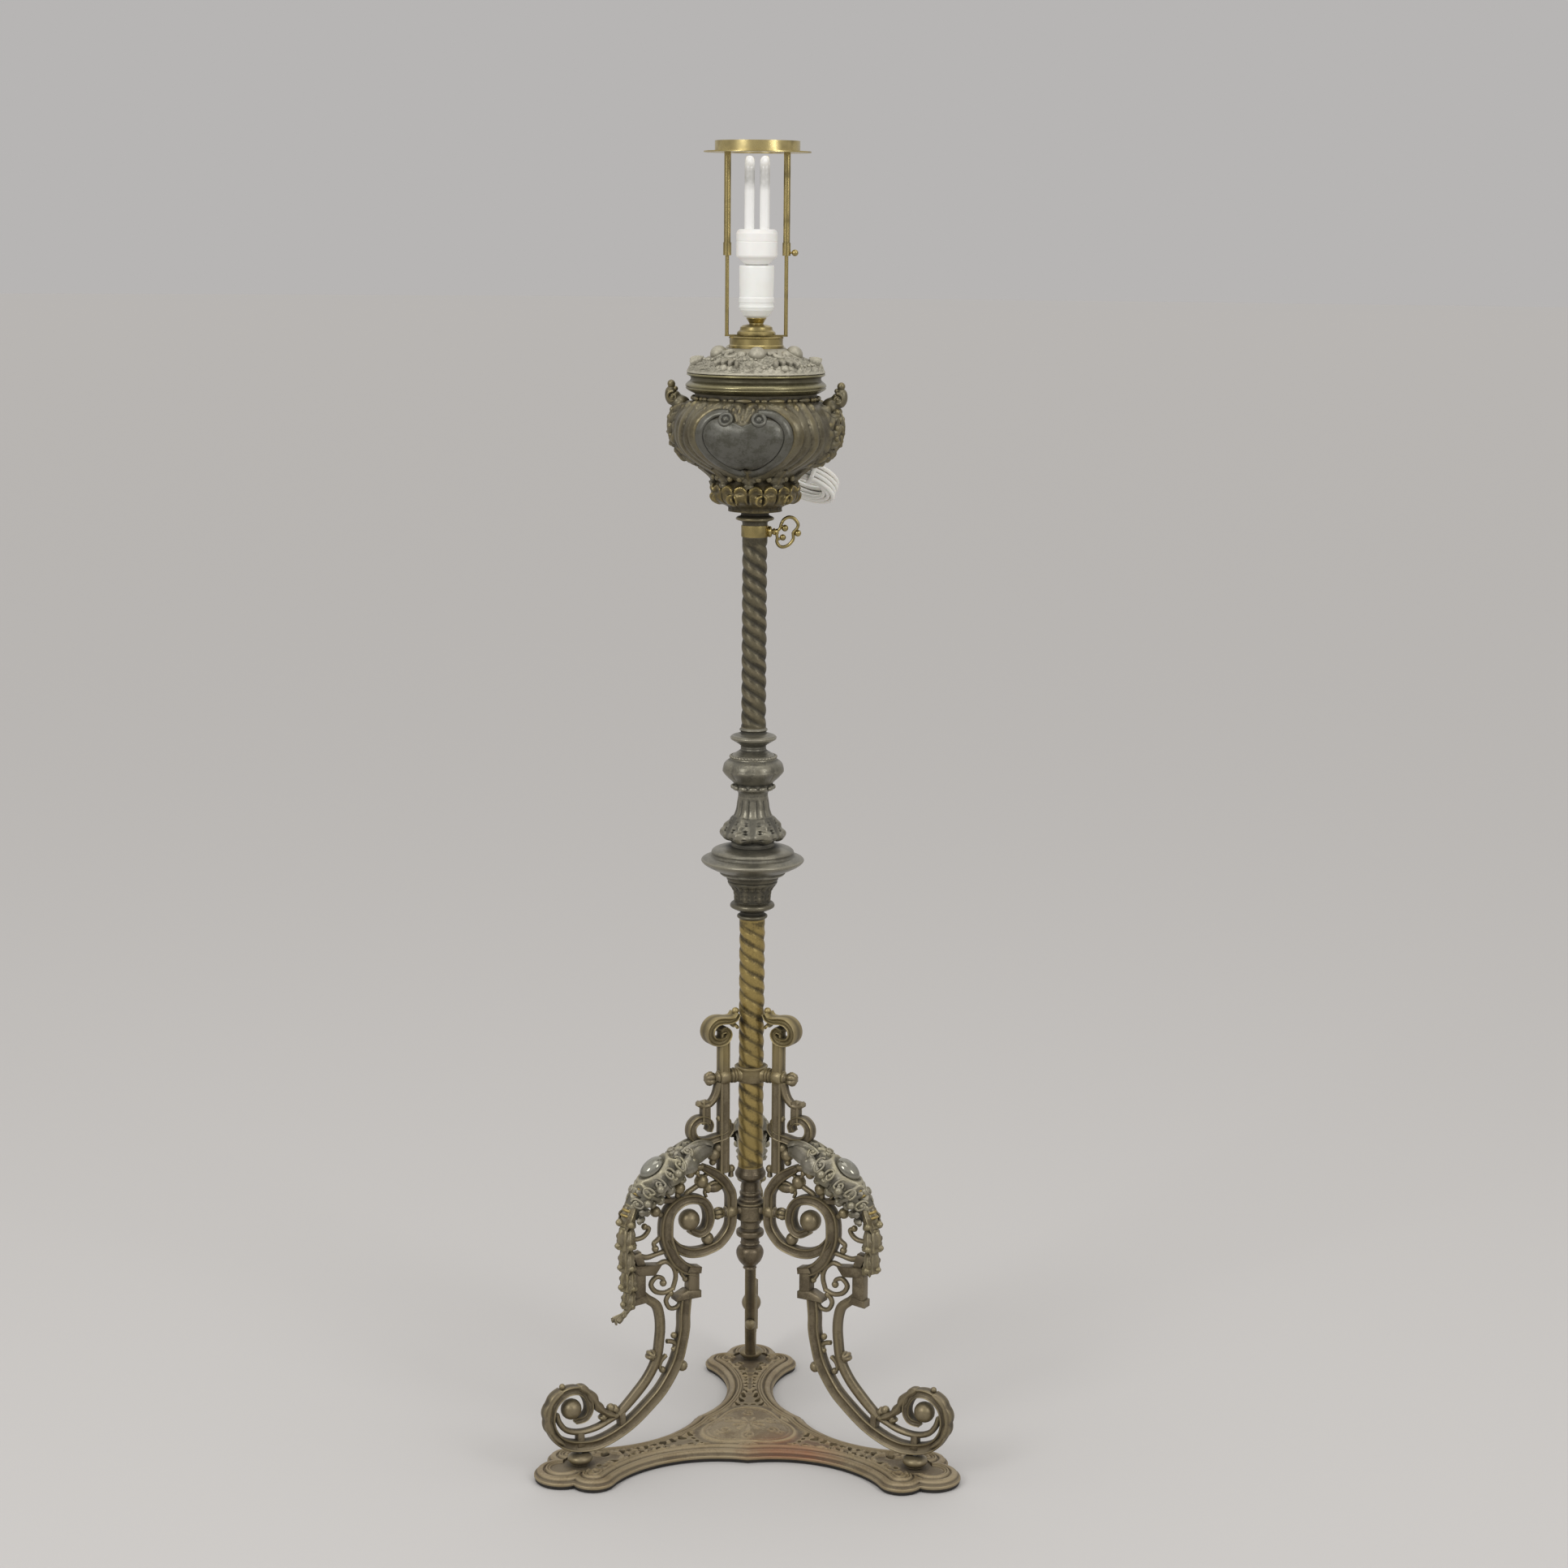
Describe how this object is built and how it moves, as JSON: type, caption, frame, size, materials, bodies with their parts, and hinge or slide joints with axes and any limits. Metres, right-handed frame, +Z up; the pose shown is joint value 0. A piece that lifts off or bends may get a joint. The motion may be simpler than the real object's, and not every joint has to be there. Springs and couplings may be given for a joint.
{
  "type": "floor lamp",
  "caption": "Telescoping oil floor lamp of cast brass on a tripod scroll stand, converted to electric light, with a vase font and a height clamp key.",
  "frame": {"origin": "on the floor, under the lamp's column, at the middle of the base plate's underside", "axes": "+Z up along the column, -Y towards the viewer of the picture, +X to the viewer's right; one base arm points along +Y"},
  "size_m": [0.5216, 0.4696, 1.6137],
  "materials": {
    "cast_iron_plate": "black painted iron, dull",
    "base_bronze": "cast brass with brown patina",
    "leg_brass": "cast brass with olive brown patina",
    "grey_ornament": "cast brass, tarnished grey",
    "polished_stone": "polished grey cabochon",
    "gilt_tube": "rope-turned brass with worn gilding",
    "dark_tube": "rope-turned brass, dark olive patina",
    "column_bronze": "turned brass, grey green patina",
    "bright_brass": "lacquered bright brass",
    "vase_bronze": "cast brass with dark bronze patina and rubbed highlights",
    "ring_brass": "gadrooned brass, rubbed bright on the ridges",
    "cover_bronze": "embossed sheet brass, tarnished grey brown",
    "band_brass": "turned brass, polished ridges",
    "steel": "plain steel",
    "holder_white": "white moulded plastic, slightly aged",
    "bulb_white": "white moulded plastic",
    "bulb_glass": "phosphor-coated glass",
    "bulb_metal": "pressed metal screw cap",
    "cord_white": "white PVC cord"
  },
  "bodies": {
    "stand": {"base_foot_plate": "cast_iron_plate", "base_plate": "base_bronze", "leg_bolts": "steel", "foot_knobs": "leg_brass", "leg_right": "leg_brass", "leg_back": "leg_brass", "leg_left": "leg_brass", "garland_right": "grey_ornament", "garland_back": "grey_ornament", "garland_left": "grey_ornament", "garland_jewels": "polished_stone", "garland_rivets": "leg_brass", "upper_spider": "leg_brass", "lower_spider": "leg_brass", "upper_arm_knobs": "leg_brass", "lower_arm_knobs": "leg_brass", "bottom_finial": "leg_brass", "column_socket": "leg_brass", "lower_column_tube": "gilt_tube", "tie_rod": "steel", "tie_nut": "steel", "column_capital": "column_bronze", "drip_disc": "column_bronze", "baluster": "column_bronze", "baluster_knop": "column_bronze", "baluster_collar": "column_bronze", "guide_tube": "bright_brass", "upper_column_tube": "dark_tube", "clamp_collar": "bright_brass"},
    "clamp_key": {"clamp_key": "bright_brass"},
    "riser": {"telescopic_rod": "bright_brass"},
    "font": {"vase_foot": "vase_bronze", "gadroon_ring": "ring_brass", "vase_body": "vase_bronze", "vase_medallions": "vase_bronze", "vase_horns": "ring_brass", "font_band": "band_brass", "font_cover": "cover_bronze", "font_tank": "bright_brass", "font_collar": "bright_brass", "font_cap": "bright_brass", "gallery_yoke": "bright_brass", "holder_nipple": "bright_brass", "holder_funnel": "bright_brass", "lamp_holder_base": "holder_white", "lamp_holder_shell": "holder_white", "holder_contact": "holder_white", "cord_gland": "cord_white", "cord_tail": "cord_white", "cord_coil": "cord_white", "cord_tie": "cord_white", "plug_body": "cord_white", "plug_pins": "bright_brass"},
    "gallery": {"gallery_ring": "bright_brass", "gallery_sleeves": "bright_brass"},
    "gallery_screw": {"gallery_screw": "bright_brass"},
    "bulb_travel": {"bulb_contact": "bulb_metal"},
    "bulb": {"bulb_cap": "bulb_metal", "bulb_housing": "bulb_white", "bulb_tubes": "bulb_glass"}
  },
  "joints": [
    {"name": "riser_slide", "type": "slide", "parent": "stand", "child": "riser", "axis": [0, 0, 1], "range_m": [0, 0.28]},
    {"name": "font_swivel", "type": "hinge", "parent": "riser", "child": "font", "pos_m": [0, 0, 1.168], "axis": [0, 0, 1], "continuous": true},
    {"name": "clamp_key_turn", "type": "hinge", "parent": "stand", "child": "clamp_key", "pos_m": [0.041, 0, 1.15507], "axis": [1, 0, 0], "range_deg": [0, 360]},
    {"name": "gallery_slide", "type": "slide", "parent": "font", "child": "gallery", "axis": [0, 0, 1], "range_m": [-0.085, 0.005]},
    {"name": "gallery_screw_turn", "type": "hinge", "parent": "gallery", "child": "gallery_screw", "pos_m": [0.045, 0, 1.48472], "axis": [1, 0, 0], "range_deg": [0, 360]},
    {"name": "bulb_lift", "type": "slide", "parent": "font", "child": "bulb_travel", "axis": [0, 0, 1], "range_m": [0, 0.0218]},
    {"name": "bulb_turn", "type": "hinge", "parent": "bulb_travel", "child": "bulb", "pos_m": [0, 0, 1.457], "axis": [0, 0, 1], "range_deg": [0, 2160]}
  ],
  "couplings": [
    {"joint": "bulb_lift", "follows": "bulb_turn", "m_per_rad": 0.0005775}
  ]
}
